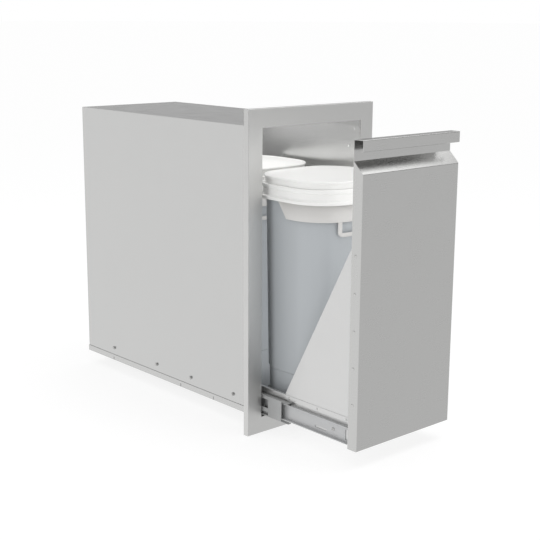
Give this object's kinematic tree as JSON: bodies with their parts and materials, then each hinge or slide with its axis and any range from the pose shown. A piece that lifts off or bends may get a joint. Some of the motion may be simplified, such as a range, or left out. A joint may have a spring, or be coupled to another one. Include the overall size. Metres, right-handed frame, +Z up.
{
  "type": "built-in pull-out waste drawer",
  "caption": "Built-in stainless waste drawer: flanged frame, closed enclosure and a full-extension pull-out with lidded round bins.",
  "frame": {"origin": "centre line of the cut-out, on the back (bearing) plane of the face frame, level with the underside of the base pan, which stands on the sill of the cut-out", "axes": "+Z up, +Y into the cut-out (the drawer pulls out along -Y), +X to the right as seen from in front"},
  "size_m": [0.359, 0.9447, 0.686],
  "materials": {
    "frame_steel": "satin stainless",
    "enclosure_steel": "satin stainless",
    "front_steel": "brushed stainless",
    "tray_steel": "bright satin stainless",
    "slide_steel": "zinc plated",
    "ball_steel": "polished",
    "fastener_steel": "plain",
    "bumper_rubber": "matte black",
    "bumper_plastic": "dark moulded",
    "bin_plastic": "satin blue-grey",
    "lid_plastic": "satin white"
  },
  "bodies": {
    "enclosure": {"face_frame": "frame_steel", "left_side_panel": "enclosure_steel", "right_side_panel": "enclosure_steel", "top_panel": "enclosure_steel", "back_panel": "enclosure_steel", "base_pan": "enclosure_steel", "enclosure_rivets": "fastener_steel", "left_cabinet_rail": "slide_steel", "right_cabinet_rail": "slide_steel", "cabinet_rail_screws": "fastener_steel", "cabinet_rail_nuts": "fastener_steel", "rear_bumpers": "bumper_rubber"},
    "drawer": {"drawer_front": "front_steel", "front_inner_panel": "tray_steel", "front_rivets": "fastener_steel", "front_fixing_screws": "fastener_steel", "drawer_tray": "tray_steel", "left_gusset": "tray_steel", "right_gusset": "tray_steel", "gusset_rivets": "fastener_steel", "left_drawer_rail": "slide_steel", "right_drawer_rail": "slide_steel", "drawer_rail_screws": "fastener_steel"},
    "left_intermediate": {"left_intermediate_rail": "slide_steel", "left_rail_bumper": "bumper_plastic"},
    "right_intermediate": {"right_intermediate_rail": "slide_steel", "right_rail_bumper": "bumper_plastic"},
    "left_outer_cage": {"left_outer_ball_cage": "slide_steel", "left_outer_balls": "ball_steel"},
    "right_outer_cage": {"right_outer_ball_cage": "slide_steel", "right_outer_balls": "ball_steel"},
    "left_inner_cage": {"left_inner_ball_cage": "slide_steel", "left_inner_balls": "ball_steel"},
    "right_inner_cage": {"right_inner_ball_cage": "slide_steel", "right_inner_balls": "ball_steel"},
    "front_bin": {"front_bin": "bin_plastic", "front_bin_collar": "lid_plastic"},
    "rear_bin": {"rear_bin": "bin_plastic", "rear_bin_collar": "lid_plastic"},
    "front_lid": {"front_lid": "lid_plastic"},
    "rear_lid": {"rear_lid": "lid_plastic"}
  },
  "joints": [
    {"name": "drawer_slide", "type": "slide", "parent": "enclosure", "child": "drawer", "axis": [0, -1, 0], "range_m": [-0.276, 0.272]},
    {"name": "left_intermediate_slide", "type": "slide", "parent": "enclosure", "child": "left_intermediate", "axis": [0, -1, 0], "range_m": [-0.139, 0.137]},
    {"name": "left_outer_cage_slide", "type": "slide", "parent": "enclosure", "child": "left_outer_cage", "axis": [0, -1, 0], "range_m": [-0.07, 0.069]},
    {"name": "left_inner_cage_slide", "type": "slide", "parent": "enclosure", "child": "left_inner_cage", "axis": [0, -1, 0], "range_m": [-0.208, 0.205]},
    {"name": "right_intermediate_slide", "type": "slide", "parent": "enclosure", "child": "right_intermediate", "axis": [0, -1, 0], "range_m": [-0.139, 0.137]},
    {"name": "right_outer_cage_slide", "type": "slide", "parent": "enclosure", "child": "right_outer_cage", "axis": [0, -1, 0], "range_m": [-0.07, 0.069]},
    {"name": "right_inner_cage_slide", "type": "slide", "parent": "enclosure", "child": "right_inner_cage", "axis": [0, -1, 0], "range_m": [-0.208, 0.205]},
    {"name": "front_bin_lift", "type": "slide", "parent": "drawer", "child": "front_bin", "axis": [0, 0, 1], "range_m": [0, 0.03]},
    {"name": "front_lid_lift", "type": "slide", "parent": "front_bin", "child": "front_lid", "axis": [0, 0, 1], "range_m": [0, 0.06]},
    {"name": "rear_bin_lift", "type": "slide", "parent": "drawer", "child": "rear_bin", "axis": [0, 0, 1], "range_m": [0, 0.03]},
    {"name": "rear_lid_lift", "type": "slide", "parent": "rear_bin", "child": "rear_lid", "axis": [0, 0, 1], "range_m": [0, 0.06]}
  ],
  "couplings": [
    {"joint": "left_intermediate_slide", "follows": "drawer_slide", "ratio": 0.5},
    {"joint": "left_outer_cage_slide", "follows": "drawer_slide", "ratio": 0.25},
    {"joint": "left_inner_cage_slide", "follows": "drawer_slide", "ratio": 0.75},
    {"joint": "right_intermediate_slide", "follows": "drawer_slide", "ratio": 0.5},
    {"joint": "right_outer_cage_slide", "follows": "drawer_slide", "ratio": 0.25},
    {"joint": "right_inner_cage_slide", "follows": "drawer_slide", "ratio": 0.75}
  ]
}
